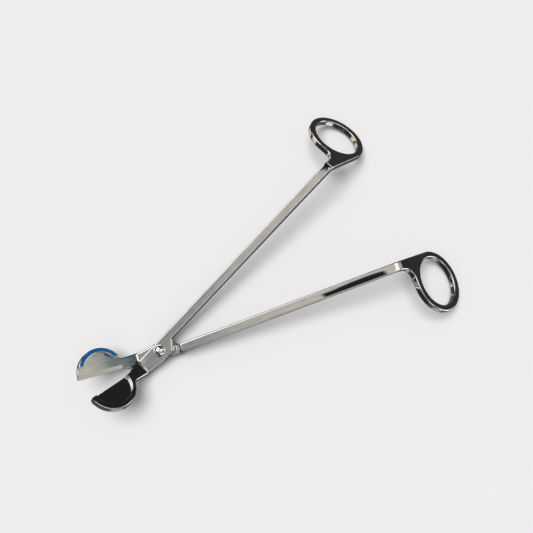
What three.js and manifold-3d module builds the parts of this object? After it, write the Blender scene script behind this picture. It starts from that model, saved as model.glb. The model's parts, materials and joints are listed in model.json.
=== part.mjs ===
// Wick trimmer: two polished steel levers crossed on a domed rivet, each with a finger ring at one end and
// half of a round tray at the other. Millimetres, +Z up. The trimmer lies open at rest, on its ring ends and heel.
import * as THREE from "three";
import { mergeVertices } from "three/addons/utils/BufferGeometryUtils.js";
import Module from "manifold-3d";

const wasm = await Module();
wasm.setup();

// Driving dimensions.
const halfOpening = THREE.MathUtils.degToRad(12.9); // each lever from the middle line, at rest
const thickness = 3.0; // of the arms, plates and necks
const plateGap = 0.3; // between the two crossed plates
const armLength = 120.7; // from the pivot to the bend of the finger ring
const armWidth = 4.4;
const armInnerEdge = 0; // from the line through the pivot

const ringBend = THREE.MathUtils.degToRad(46.3); // the ring bends down from the arm
const ringCentre = 21.1; // from the bend, along the ring
const ringHoleAlong = 10.5; // half sizes of the finger hole
const ringHoleAcross = 11.9;
const ringBand = 3.0;
const ringInnerEdge = -1.5; // how far the ring passes the line through the pivot
const ringFillet = 5.0; // between the arm and the ring, on the outer side

const plateInnerEdge = -4.9;
const plateNeckEdge = -3.5; // the plate's inner side narrows to this at the head bend
const shoulderStart = 4.8; // from the pivot, where the plate's inner side turns in towards the arm
const shoulderEnd = 8.5;
const joggleAngle = THREE.MathUtils.degToRad(70); // the lower arm climbs to the level of the other arm
const joggleRadius = 0.7; // of the joggle's hollow corners
const joggleCrown = 1.4; // of its upper rounded corner

const headBend = THREE.MathUtils.degToRad(46.7); // the tray rises from the plate
const headBendAt = 11.1; // from the pivot, on the upper lever
const bendRadius = 1.6; // inside every bend but the joggle's
const neckGap = 0.7; // between the upper neck and the lower one, so that they pass as they turn
const neckEdge = -3.1; // the neck's outer side
const neckFillet = 2.2;
const trayCentre = 18.8; // from the upper lever's bend, along the head
const trayOffset = 0.9; // of the tray's centre past the line through the pivot
const trayRadius = 11.3;
const rimWidth = 2.4;
const chordPast = 2.0; // of the cutting edge past the line through the pivot
const chordStart = 8.7; // from the bend to where the cutting edge begins
const upperBlendStart = 3.5; // from the bend, where the neck's underside starts to change into the tray's
const lowerBlendStart = 2.2;
const neckBlend = 5.2; // the length of that change
const upperTrayHeight = 3.4;
const upperRecess = 1.9;
const recessShift = 0.5; // of the recess towards the neck, which leaves the rim wider at the tip
const floorThickness = 1.5;
const lowerRimHeight = 2.3; // above the lower tray's floor
const lowerRimCut = 3.2; // the lower rim stops this far from the pivot line, where the upper tray slides over
const landWidth = 1.9; // ground strip along each cutting edge
const landDepth = 0.35;

const shankRadius = 2.0;
const shankClearance = 0.3;
const domeRadius = 3.05;
const domeHeight = 1.5;
const washerRadius = 3.9;
const washerThickness = 0.8;
const tailRadius = 2.9;
const tailHeight = 0.9;
const tailBevel = 0.55;
const seatGap = 0.05; // between faces that rest on each other

// Values that follow from them.
const plateDrop = thickness + plateGap;
const headDrop = thickness + neckGap; // from the upper head's plane to the lower neck's
const lowerBendAt = headBendAt + (headDrop - plateDrop * Math.cos(headBend)) / Math.sin(headBend);
const lowerBendBehind = plateDrop * Math.sin(headBend) - (lowerBendAt - headBendAt) * Math.cos(headBend);
const armOuterEdge = armInnerEdge + armWidth;
const ringAlong = ringHoleAlong + ringBand;
const ringAcross = ringHoleAcross + ringBand;
const ringMiddle = ringInnerEdge + ringAcross;
const joggleFoot = shoulderEnd + joggleRadius * Math.tan(joggleAngle / 2);
const joggleTop = joggleFoot + plateDrop / Math.tan(joggleAngle);
const joggleMitre = thickness * Math.tan(joggleAngle / 2);
const joggleEnd = joggleTop + joggleMitre + thickness / 2;

// Fineness of the rounded shapes.
const bendSteps = 6;
const filletSteps = 7;
const endSteps = 18;
const headSteps = 26;
const plateSteps = 4;
const roundSegments = 40;
const traySegments = 64;
const closestSections = 0.02;

const upperMetal = steel(0x8f908e);
const lowerMetal = steel(0x9a9b99);
const rivetMetal = steel(0xa8a9a6);
const washerMetal = steel(0x858684);

function steel(color) {
  return new THREE.MeshStandardMaterial({ color, roughness: 0.12, metalness: 1 });
}

// Solids and meshes.

function solid(geometry) {
  geometry.deleteAttribute("normal");
  geometry.deleteAttribute("uv");
  const merged = mergeVertices(geometry, 1e-4);
  const vertProperties = merged.attributes.position.array;
  const triVerts = new Uint32Array(merged.index.array);
  return new wasm.Manifold(new wasm.Mesh({ numProp: 3, vertProperties, triVerts }));
}

function meshOf(name, body, material) {
  const { vertProperties, triVerts } = body.getMesh();
  const geometry = new THREE.BufferGeometry();
  geometry.setAttribute("position", new THREE.BufferAttribute(vertProperties, 3));
  geometry.setIndex(new THREE.BufferAttribute(triVerts, 1));
  geometry.computeVertexNormals();
  const mesh = new THREE.Mesh(geometry, material);
  mesh.name = name;
  return mesh;
}

function prism(shape, depth, curveSegments = roundSegments) {
  return new THREE.ExtrudeGeometry(shape, { depth, bevelEnabled: false, curveSegments });
}

function spread(from, to, steps) {
  return Array.from({ length: steps + 1 }, (_, i) => from + ((to - from) * i) / steps);
}

// Distances that close up towards the far end of a half circle, so that its outline stays round.
function roundEnd(centre, radius, direction) {
  const lastAngle = THREE.MathUtils.degToRad(88.5);
  return spread(0, lastAngle, endSteps).map((angle) => centre + direction * radius * Math.sin(angle));
}

function smooth(from, to, share) {
  const t = THREE.MathUtils.clamp(share, 0, 1);
  return from + (to - from) * t * t * (3 - 2 * t);
}

// Where the top of a bent strip lies at a distance from the pivot: it leaves the pivot level and turns at each bend
// on its way, over an arc centred on the bend. A positive turn goes up.
function routeAt(distance, bends, level) {
  const direction = Math.sign(distance) || 1;
  const target = Math.abs(distance);
  let at = 0;
  let along = 0;
  let height = level;
  let climb = 0;
  const goStraight = (length) => {
    along += length * Math.cos(climb);
    height += length * Math.sin(climb);
    at += length;
  };
  for (const bend of bends.filter((b) => Math.sign(b.at) === direction)) {
    const arc = bend.radius * Math.abs(bend.turn);
    const start = Math.abs(bend.at) - arc / 2;
    if (target <= start) break;
    goStraight(start - at);
    const share = Math.min(1, (target - start) / arc);
    const turned = climb + bend.turn * share;
    const signedRadius = bend.radius * Math.sign(bend.turn);
    along += signedRadius * (Math.sin(turned) - Math.sin(climb));
    height += signedRadius * (Math.cos(climb) - Math.cos(turned));
    climb = turned;
    at += arc * share;
  }
  goStraight(target - at);
  return { x: direction * along, z: height, climb: direction * climb };
}

// The matrix of the strip's top at a distance: X along the strip away from the head, Z out of its top.
function frameAt(distance, bends, level) {
  const { x, z, climb } = routeAt(distance, bends, level);
  return new THREE.Matrix4().makeRotationY(-climb).setPosition(x, 0, z);
}

// A strip folded along its route. Its section at each distance is a rectangle between its two edges.
function foldedStrip(distances, section, bends, level) {
  const corners = [];
  for (const distance of distances) {
    const { low, high, top, bottom } = section(distance);
    const place = frameAt(distance, bends, level);
    for (const [y, z] of [[low, top], [high, top], [high, bottom], [low, bottom]]) {
      corners.push(...new THREE.Vector3(0, y, z).applyMatrix4(place).toArray());
    }
  }
  const index = [0, 1, 2, 0, 2, 3];
  const last = 4 * (distances.length - 1);
  index.push(last, last + 2, last + 1, last, last + 3, last + 2);
  for (let start = 0; start < last; start += 4) {
    for (let corner = 0; corner < 4; corner++) {
      const next = (corner + 1) % 4;
      index.push(start + corner, start + 4 + corner, start + 4 + next);
      index.push(start + corner, start + 4 + next, start + next);
    }
  }
  const geometry = new THREE.BufferGeometry();
  geometry.setAttribute("position", new THREE.BufferAttribute(new Float32Array(corners), 3));
  geometry.setIndex(index);
  return solid(geometry);
}

// Edges of the lever, in its own frame: X along the arm from the pivot, Y towards the arm's outer side.

function ringEdges(past) {
  const shape = Math.sqrt(Math.max(0, 1 - ((past - ringCentre) / ringAlong) ** 2));
  const inner = past < ringCentre
    ? armInnerEdge + ((ringInnerEdge - armInnerEdge) * past) / ringCentre
    : ringMiddle - ringAcross * shape;
  const ringStart = ringCentre - ringAlong;
  if (past > ringStart) return [inner, ringMiddle + ringAcross * shape];
  const intoFillet = Math.max(0, past - (ringStart - ringFillet));
  return [inner, armOuterEdge + ringFillet - Math.sqrt(ringFillet ** 2 - intoFillet ** 2)];
}

function plateEdges(along) {
  if (along > shoulderEnd) return [armInnerEdge, armOuterEdge];
  if (along > shoulderStart) {
    const share = (along - shoulderStart) / (shoulderEnd - shoulderStart);
    return [plateInnerEdge + (armInnerEdge - plateInnerEdge) * share, armOuterEdge];
  }
  return [smooth(plateInnerEdge, plateNeckEdge, -along / headBendAt), armOuterEdge];
}

// The head runs the other way from its bend, and its tray lies on the side away from the arm.
function headEdges(past, centre) {
  const chord = smooth(armOuterEdge, chordPast, past / chordStart);
  const filletReach = Math.sqrt((trayRadius + neckFillet) ** 2 - (trayOffset - neckEdge + neckFillet) ** 2);
  const filletAt = centre - filletReach;
  const touch = centre - (filletReach * trayRadius) / (trayRadius + neckFillet);
  if (past < filletAt) return [smooth(plateNeckEdge, neckEdge, past / filletAt), chord];
  if (past < touch) {
    return [neckEdge - neckFillet + Math.sqrt(neckFillet ** 2 - (past - filletAt) ** 2), chord];
  }
  return [trayOffset - Math.sqrt(trayRadius ** 2 - (past - centre) ** 2), chord];
}

function distancesAlong(bends, headAt, centre) {
  const arcs = bends.flatMap((bend) => {
    const half = (bend.radius * Math.abs(bend.turn)) / 2;
    const arc = spread(Math.abs(bend.at) - half, Math.abs(bend.at) + half, bendSteps);
    return arc.map((distance) => Math.sign(bend.at) * distance);
  });
  const ringMiddleAt = armLength + ringCentre;
  const ringStart = ringMiddleAt - ringAlong;
  const all = [
    ...arcs,
    ...roundEnd(-headAt - centre, trayRadius, -1),
    ...spread(-headAt - centre, -headAt, headSteps),
    ...spread(-headBendAt, 0, plateSteps),
    shoulderStart,
    shoulderEnd,
    ...spread(ringStart - ringFillet, ringStart - closestSections, filletSteps),
    ...roundEnd(ringMiddleAt, ringAlong, -1),
    ...roundEnd(ringMiddleAt, ringAlong, 1),
  ];
  return all.sort((a, b) => a - b).filter((d, i) => i === 0 || d - all[i - 1] > closestSections);
}

function ringHole(place) {
  const hole = new THREE.Shape();
  hole.absellipse(0, ringMiddle, ringHoleAlong, ringHoleAcross, 0, 2 * Math.PI);
  const cut = prism(hole, 3 * thickness);
  cut.translate(0, 0, -2 * thickness);
  return solid(cut.applyMatrix4(place));
}

function rivetHole() {
  const radius = shankRadius + shankClearance;
  const cut = new THREE.CylinderGeometry(radius, radius, 6 * thickness, roundSegments);
  return solid(cut.rotateX(Math.PI / 2));
}

// A wedge along the cutting edge, full depth at the edge and nothing where the ground land ends.
function landWedge(depth, upwards, centre, place) {
  const spare = 0.5;
  const slope = depth / landWidth;
  const section = new THREE.Shape();
  section.moveTo(chordPast - landWidth, 0);
  section.lineTo(chordPast + spare, upwards * (depth + slope * spare));
  section.lineTo(chordPast + spare, -upwards * spare);
  section.lineTo(chordPast - landWidth, -upwards * spare);
  const wedge = prism(section, trayRadius + centre - chordStart);
  wedge.applyMatrix4(new THREE.Matrix4().set(0, 0, 1, -trayRadius, 1, 0, 0, 0, 0, 1, 0, 0, 0, 0, 0, 1));
  return solid(wedge.applyMatrix4(place));
}

// The two bends of each lever, and its section where it isn't a head.
function bendsOf(headAt) {
  return [
    { at: -headAt, turn: headBend, radius: bendRadius },
    { at: armLength, turn: -ringBend, radius: bendRadius + thickness },
  ];
}

function armSection(distance) {
  const [low, high] = distance > armLength ? ringEdges(distance - armLength) : plateEdges(distance);
  return { low, high, top: 0, bottom: -thickness };
}

function headSection(headAt, centre, blendStart, trayDepth) {
  return (distance) => {
    const past = -headAt - distance;
    if (past <= 0) return armSection(distance);
    const [low, high] = headEdges(past, centre);
    return { low, high, top: 0, bottom: -smooth(thickness, trayDepth, (past - blendStart) / neckBlend) };
  };
}

function upperLever() {
  const bends = bendsOf(headBendAt);
  const section = headSection(headBendAt, trayCentre, upperBlendStart, upperTrayHeight);
  const strip = foldedStrip(distancesAlong(bends, headBendAt, trayCentre), section, bends, 0);
  const place = frameAt(-headBendAt - trayCentre, bends, 0);
  const inner = trayRadius - rimWidth;
  const recess = new THREE.CylinderGeometry(inner, inner, 2 * upperRecess, traySegments);
  recess.rotateX(Math.PI / 2);
  recess.translate(recessShift, trayOffset, 0);
  const underside = place.clone().multiply(new THREE.Matrix4().makeTranslation(0, 0, -upperTrayHeight));
  return strip
    .subtract(ringHole(frameAt(armLength + ringCentre, bends, 0)))
    .subtract(rivetHole())
    .subtract(solid(recess.applyMatrix4(place)))
    .subtract(landWedge(landDepth, 1, trayCentre, underside));
}

function lowerRim() {
  const inner = trayRadius - rimWidth;
  const reach = lowerRimCut + trayOffset;
  const outerAngle = Math.asin(reach / trayRadius);
  const innerAngle = Math.asin(reach / inner);
  const rim = new THREE.Shape();
  rim.absarc(0, 0, trayRadius, Math.PI + outerAngle, 2 * Math.PI - outerAngle, false);
  rim.absarc(0, 0, inner, 2 * Math.PI - innerAngle, Math.PI + innerAngle, true);
  const sunk = 0.5;
  const geometry = prism(rim, lowerRimHeight + sunk, traySegments);
  return geometry.translate(0, trayOffset, -sunk);
}

// The step between the lower lever's plate and its arm, seen from the side. Both faces turn by the same angle, so
// the metal keeps its thickness. Each corner is given with its radius.
function joggle() {
  const corners = [
    [shoulderEnd, -plateDrop, 0],
    [joggleFoot, -plateDrop, joggleRadius],
    [joggleTop, 0, joggleCrown],
    [joggleEnd, 0, 0],
    [joggleEnd, -thickness, 0],
    [joggleTop + joggleMitre, -thickness, joggleRadius],
    [joggleFoot + joggleMitre, -plateDrop - thickness, joggleRadius + thickness],
    [shoulderEnd, -plateDrop - thickness, 0],
  ].map(([x, z, radius]) => ({ point: new THREE.Vector2(x, z), cut: radius * Math.tan(joggleAngle / 2) }));
  const side = new THREE.Shape();
  corners.forEach(({ point, cut }, i) => {
    const before = corners.at(i - 1).point.clone().sub(point).setLength(cut).add(point);
    const after = corners[(i + 1) % corners.length].point.clone().sub(point).setLength(cut).add(point);
    if (i === 0) side.moveTo(point.x, point.y);
    else if (cut === 0) side.lineTo(point.x, point.y);
    else side.lineTo(before.x, before.y).quadraticCurveTo(point.x, point.y, after.x, after.y);
  });
  const step = prism(side, armWidth, filletSteps);
  step.rotateX(Math.PI / 2);
  return solid(step.translate(0, armOuterEdge, 0));
}

function lowerLever() {
  const lap = 0.1; // the joggle shares this much of its length with the plate and with the arm
  const bends = bendsOf(lowerBendAt);
  const centre = trayCentre + lowerBendBehind;
  const distances = distancesAlong(bends, lowerBendAt, centre);
  const headDistances = [...distances.filter((d) => d <= shoulderEnd), shoulderEnd + lap];
  const armDistances = [joggleEnd - lap, ...distances.filter((d) => d > joggleEnd)];
  const section = headSection(lowerBendAt, centre, lowerBlendStart, floorThickness);
  const place = frameAt(-lowerBendAt - centre, bends, -plateDrop);
  return foldedStrip(headDistances, section, bends, -plateDrop)
    .add(joggle())
    .add(foldedStrip(armDistances, armSection, bends, 0))
    .subtract(ringHole(frameAt(armLength + ringCentre, bends, 0)))
    .subtract(rivetHole())
    .add(solid(lowerRim().applyMatrix4(place)))
    .subtract(landWedge(landDepth, -1, centre, place));
}

function lathe(profile) {
  const geometry = new THREE.LatheGeometry(profile, roundSegments);
  return solid(geometry.rotateX(Math.PI / 2));
}

const washerTop = -plateDrop - thickness - seatGap;
const tailTop = washerTop - washerThickness - seatGap;

function domeProfile() {
  const domeSteps = 10;
  const bulge = (domeRadius ** 2 + domeHeight ** 2) / (2 * domeHeight);
  const half = Math.asin(domeRadius / bulge);
  return spread(half, 0, domeSteps).map((angle) => {
    return new THREE.Vector2(bulge * Math.sin(angle), seatGap + domeHeight - bulge * (1 - Math.cos(angle)));
  });
}

function pivotRivet() {
  const profile = [
    new THREE.Vector2(0, tailTop - tailHeight),
    new THREE.Vector2(tailRadius - tailBevel, tailTop - tailHeight),
    new THREE.Vector2(tailRadius, tailTop - tailHeight + tailBevel),
    new THREE.Vector2(tailRadius, tailTop),
    new THREE.Vector2(shankRadius, tailTop),
    new THREE.Vector2(shankRadius, seatGap),
    ...domeProfile(),
  ];
  return lathe(profile);
}

function burrWasher() {
  const inner = shankRadius + shankClearance;
  const profile = [
    new THREE.Vector2(inner, washerTop - washerThickness),
    new THREE.Vector2(washerRadius, washerTop - washerThickness),
    new THREE.Vector2(washerRadius, washerTop),
    new THREE.Vector2(inner, washerTop),
    new THREE.Vector2(inner, washerTop - washerThickness),
  ];
  return lathe(profile);
}

// Assembly.
const upper = meshOf("upper_lever", upperLever(), upperMetal);
upper.rotation.z = halfOpening;
const lower = meshOf("lower_lever", lowerLever(), lowerMetal);
lower.scale.y = -1;
lower.rotation.z = -halfOpening;
const rivet = meshOf("pivot_rivet", pivotRivet(), rivetMetal);
const washer = meshOf("burr_washer", burrWasher(), washerMetal);

const trimmer = new THREE.Group();
trimmer.add(upper, lower, rivet, washer);

function vertices(object) {
  object.updateMatrixWorld(true);
  const points = [];
  object.traverse((child) => {
    if (!child.isMesh) return;
    const position = child.geometry.attributes.position;
    for (let i = 0; i < position.count; i++) {
      points.push(new THREE.Vector3().fromBufferAttribute(position, i).applyMatrix4(child.matrixWorld));
    }
  });
  return points;
}

// The trimmer tips until its ring ends and its heel lie on one plane.
function restTilt(points) {
  const between = armLength / 2;
  const rounds = 6;
  let tilt = 0;
  for (let round = 0; round < rounds; round++) {
    const depth = (p) => p.z * Math.cos(tilt) - p.x * Math.sin(tilt);
    const lowest = (a, b) => (depth(b) < depth(a) ? b : a);
    const heel = points.filter((p) => p.x < between).reduce(lowest);
    const toe = points.filter((p) => p.x > between).reduce(lowest);
    tilt = Math.atan2(toe.z - heel.z, toe.x - heel.x);
  }
  return tilt;
}
trimmer.rotation.y = restTilt(vertices(trimmer));

const object = new THREE.Group();
object.add(trimmer);
const box = new THREE.Box3().setFromPoints(vertices(object));
const middle = box.getCenter(new THREE.Vector3());
trimmer.position.set(-middle.x, -middle.y, -box.min.z);

export default object;
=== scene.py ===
"""Wick trimmer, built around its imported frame: two folded levers of polished steel, a domed rivet and its
washer, on a pale studio floor. Every size is in metres, in the frame's own axes."""
import json
import math

import bmesh
import bpy
from bpy.props import FloatProperty, FloatVectorProperty, PointerProperty
from mathutils import Matrix, Vector


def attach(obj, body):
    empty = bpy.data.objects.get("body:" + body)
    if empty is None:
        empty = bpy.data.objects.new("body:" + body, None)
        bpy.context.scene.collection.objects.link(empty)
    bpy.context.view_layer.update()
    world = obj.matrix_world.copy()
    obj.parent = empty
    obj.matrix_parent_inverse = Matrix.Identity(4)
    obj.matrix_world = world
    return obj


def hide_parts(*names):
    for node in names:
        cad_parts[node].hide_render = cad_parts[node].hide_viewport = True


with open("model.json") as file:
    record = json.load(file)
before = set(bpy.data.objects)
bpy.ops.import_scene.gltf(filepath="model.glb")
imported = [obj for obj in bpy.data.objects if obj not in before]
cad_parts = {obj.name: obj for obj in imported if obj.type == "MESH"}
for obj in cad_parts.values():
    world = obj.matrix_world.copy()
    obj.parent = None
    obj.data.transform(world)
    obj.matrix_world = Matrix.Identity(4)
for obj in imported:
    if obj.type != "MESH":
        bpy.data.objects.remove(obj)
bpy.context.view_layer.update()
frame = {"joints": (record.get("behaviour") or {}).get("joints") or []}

bl_info = {
    "name": "Wick Trimmer",
    "version": (1, 0, 0),
    "blender": (4, 5, 0),
    "location": "3D View > Sidebar > Trimmer",
    "description": "Builds a polished steel wick trimmer with two levers, a rivet and a washer",
    "category": "Object",
}

MM = 0.001

# The plate and the joggle of a lever, in its own frame: X along its arm from the pivot, Y to the arm's outer
# side, and the level of the arms' top at zero.
PLATE_INNER = -4.9 * MM
PLATE_NECK = -3.5 * MM
SHOULDER_START = 4.8 * MM
SHOULDER_END = 8.5 * MM
SHOULDER_ROUND = 1.1 * MM
PLATE_GAP = 0.3 * MM
JOGGLE_ANGLE = math.radians(70)
JOGGLE_HOLLOW = 0.7 * MM
JOGGLE_CROWN = 1.4 * MM

# The finger ring.
RING_BEND = math.radians(46.3)
RING_CENTRE = 21.1 * MM
RING_HOLE_ALONG = 10.5 * MM
RING_HOLE_ACROSS = 11.9 * MM
RING_INNER = -1.5 * MM
RING_FILLET = 5.0 * MM

# The head.
HEAD_BEND = math.radians(46.7)
HEAD_BEND_AT = 11.1 * MM
BEND_RADIUS = 1.6 * MM
NECK_GAP = 0.7 * MM
NECK_EDGE = -3.1 * MM
NECK_FILLET = 2.2 * MM
NECK_BLEND = 5.2 * MM
TRAY_CENTRE = 18.8 * MM
TRAY_OFFSET = 0.9 * MM
CHORD_PAST = 2.0 * MM
CHORD_START = 8.7 * MM
LAND_WIDTH = 1.9 * MM
LAND_DEPTH = 0.35 * MM
LAND_MARGIN = 0.1 * MM
LAND_UPRIGHT = (0.9, 0.995)  # how upright its normal stands before the folds
UPPER_BLEND_START = 3.5 * MM
LOWER_BLEND_START = 2.2 * MM
UPPER_TRAY_HEIGHT = 3.4 * MM
UPPER_RECESS = 1.9 * MM
RECESS_SHIFT = 0.5 * MM
FLOOR_THICKNESS = 1.5 * MM
RIM_HEIGHT = 2.3 * MM
RIM_CUT = 3.2 * MM
RIM_SUNK = 0.5 * MM
RIM_NECK_ANGLE = 330  # in degrees, where the rim ends at the neck

# The rivet and its washer.
SHANK_RADIUS = 2.0 * MM
SHANK_CLEARANCE = 0.3 * MM
SEAT_GAP = 0.05 * MM
DOME_COLLAR = 0.35 * MM
TAIL_RADIUS = 2.9 * MM
TAIL_HEIGHT = 0.9 * MM
TAIL_BEVEL = 0.55 * MM
TAIL_END_ROUND = 0.2 * MM
TAIL_SIDE_ROUND = 0.15 * MM
TAIL_TOP_ROUND = 0.05 * MM
HEAD_FOOT_ROUND = 0.06 * MM
COLLAR_ROUND = 0.2 * MM
WASHER_OUTER_ROUND = 0.2 * MM
WASHER_INNER_ROUND = 0.1 * MM

# Fineness of the curves, and what counts as flat, sharp or the same place.
ROUND_STEPS = 96
BEND_STEPS = 10
NECK_STEPS = 4
PLATE_STEPS = 6
CORNER_STEPS = 6
PROFILE_STEPS = 5
EDGE_STEPS = 4
SHORTEST_SIDE = 0.02 * MM
FLAT_ANGLE = math.radians(0.2)
SHARP_ANGLE = math.radians(28)
CUT_REACH = 1e-7
MERGE_REACH = 1e-6
BROAD_FACE_WEIGHT = 80
GRAIN_PER_METRE = 10


class TrimmerSizes(bpy.types.PropertyGroup):
    """Sizes of the trimmer that a user may change."""

    half_opening: FloatProperty(
        name="Half opening", description="Angle of each lever from the middle line at rest",
        default=math.radians(12.9), subtype="ANGLE",
    )
    thickness: FloatProperty(
        name="Thickness", description="Of the arms, plates and necks", default=3.0 * MM, unit="LENGTH"
    )
    arm_length: FloatProperty(
        name="Arm length", description="From the pivot to the ring's bend", default=120.7 * MM, unit="LENGTH"
    )
    arm_width: FloatProperty(
        name="Arm width", description="Across each arm", default=4.4 * MM, unit="LENGTH"
    )
    ring_band: FloatProperty(
        name="Ring band", description="Width of the metal round a finger hole", default=3.0 * MM, unit="LENGTH"
    )
    tray_radius: FloatProperty(
        name="Tray radius", description="Of the half-round tray", default=11.3 * MM, unit="LENGTH"
    )
    rim_width: FloatProperty(
        name="Rim width", description="Of the rim round each tray", default=2.4 * MM, unit="LENGTH"
    )
    rim_crown: FloatProperty(
        name="Rim crown", description="How far the standing rim falls to its outer side",
        default=0.22 * MM, unit="LENGTH",
    )
    dome_radius: FloatProperty(
        name="Dome radius", description="Of the rivet's head", default=3.05 * MM, unit="LENGTH"
    )
    dome_height: FloatProperty(
        name="Dome height", description="Of the rivet's head", default=1.5 * MM, unit="LENGTH"
    )
    washer_radius: FloatProperty(
        name="Washer radius", description="Of the burr washer", default=3.9 * MM, unit="LENGTH"
    )
    washer_thickness: FloatProperty(
        name="Washer thickness", description="Of the burr washer", default=0.8 * MM, unit="LENGTH"
    )
    ring_round: FloatProperty(
        name="Ring edge", description="Rounding of the finger ring's edges", default=0.55 * MM, unit="LENGTH"
    )
    arm_round: FloatProperty(
        name="Arm edge", description="Rounding of the arm's edges", default=0.75 * MM, unit="LENGTH"
    )
    tray_round: FloatProperty(
        name="Tray edge", description="Rounding of the tray's edges", default=0.45 * MM, unit="LENGTH"
    )
    cutting_round: FloatProperty(
        name="Cutting edge", description="Rounding left on the ground edges", default=0.07 * MM, unit="LENGTH"
    )


class TrimmerFinish(bpy.types.PropertyGroup):
    """Colours and finish of the steel."""

    steel: FloatVectorProperty(
        name="Polished steel", description="Colour of the polished levers", default=(0.62, 0.615, 0.605),
        subtype="COLOR", min=0, max=1,
    )
    ground: FloatVectorProperty(
        name="Ground steel", description="Colour of the ground cutting lands", default=(0.62, 0.58, 0.52),
        subtype="COLOR", min=0, max=1,
    )
    rivet: FloatVectorProperty(
        name="Rivet steel", description="Colour of the rivet", default=(0.7, 0.695, 0.68),
        subtype="COLOR", min=0, max=1,
    )
    washer: FloatVectorProperty(
        name="Washer steel", description="Colour of the stamped washer", default=(0.5, 0.5, 0.49),
        subtype="COLOR", min=0, max=1,
    )
    gloss: FloatProperty(
        name="Roughness", description="Roughness of the mirror polish", default=0.022, min=0, max=1
    )
    wear: FloatProperty(
        name="Wear", description="How strongly handling marks show", default=0.5, min=0, max=1
    )


class TrimmerStage(bpy.types.PropertyGroup):
    """The floor, the light and the camera."""

    backdrop: FloatVectorProperty(
        name="Backdrop", description="Colour beyond the floor", default=(0.867, 0.85, 0.858),
        subtype="COLOR", min=0, max=1,
    )
    floor: FloatVectorProperty(
        name="Floor", description="Colour of the floor", default=(0.83, 0.815, 0.823),
        subtype="COLOR", min=0, max=1,
    )
    key: FloatProperty(
        name="Key light", description="Strength of the soft key light", default=2.15, min=0
    )
    fill: FloatProperty(
        name="Fill light", description="Strength of the even light from all round", default=0.37, min=0
    )
    lens: FloatProperty(
        name="Lens", description="Focal length of the camera in millimetres", default=44.64, min=1
    )


# Curves and outlines.

def spread(start, end, steps):
    return [start + (end - start) * i / steps for i in range(steps + 1)]


def ease(start, end, share):
    t = min(1.0, max(0.0, share))
    return start + (end - start) * t * t * (3 - 2 * t)


def arc(centre, radii, start, end, steps):
    """Points of an elliptic arc. The angles are in degrees and may run either way."""
    angles = [math.radians(angle) for angle in spread(start, end, steps)]
    return [(centre[0] + radii[0] * math.cos(a), centre[1] + radii[1] * math.sin(a)) for a in angles]


def rounded(before, corner, after, radius, steps=CORNER_STEPS):
    """The points that round a corner between two straight lines."""
    corner = Vector(corner)
    back = (Vector(before) - corner).normalized()
    onward = (Vector(after) - corner).normalized()
    cut = radius / math.tan(back.angle(onward) / 2)
    points = []
    for t in spread(0, 1, steps):
        points.append(tuple(corner + back * cut * (1 - t) ** 2 + onward * cut * t**2))
    return points


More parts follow.
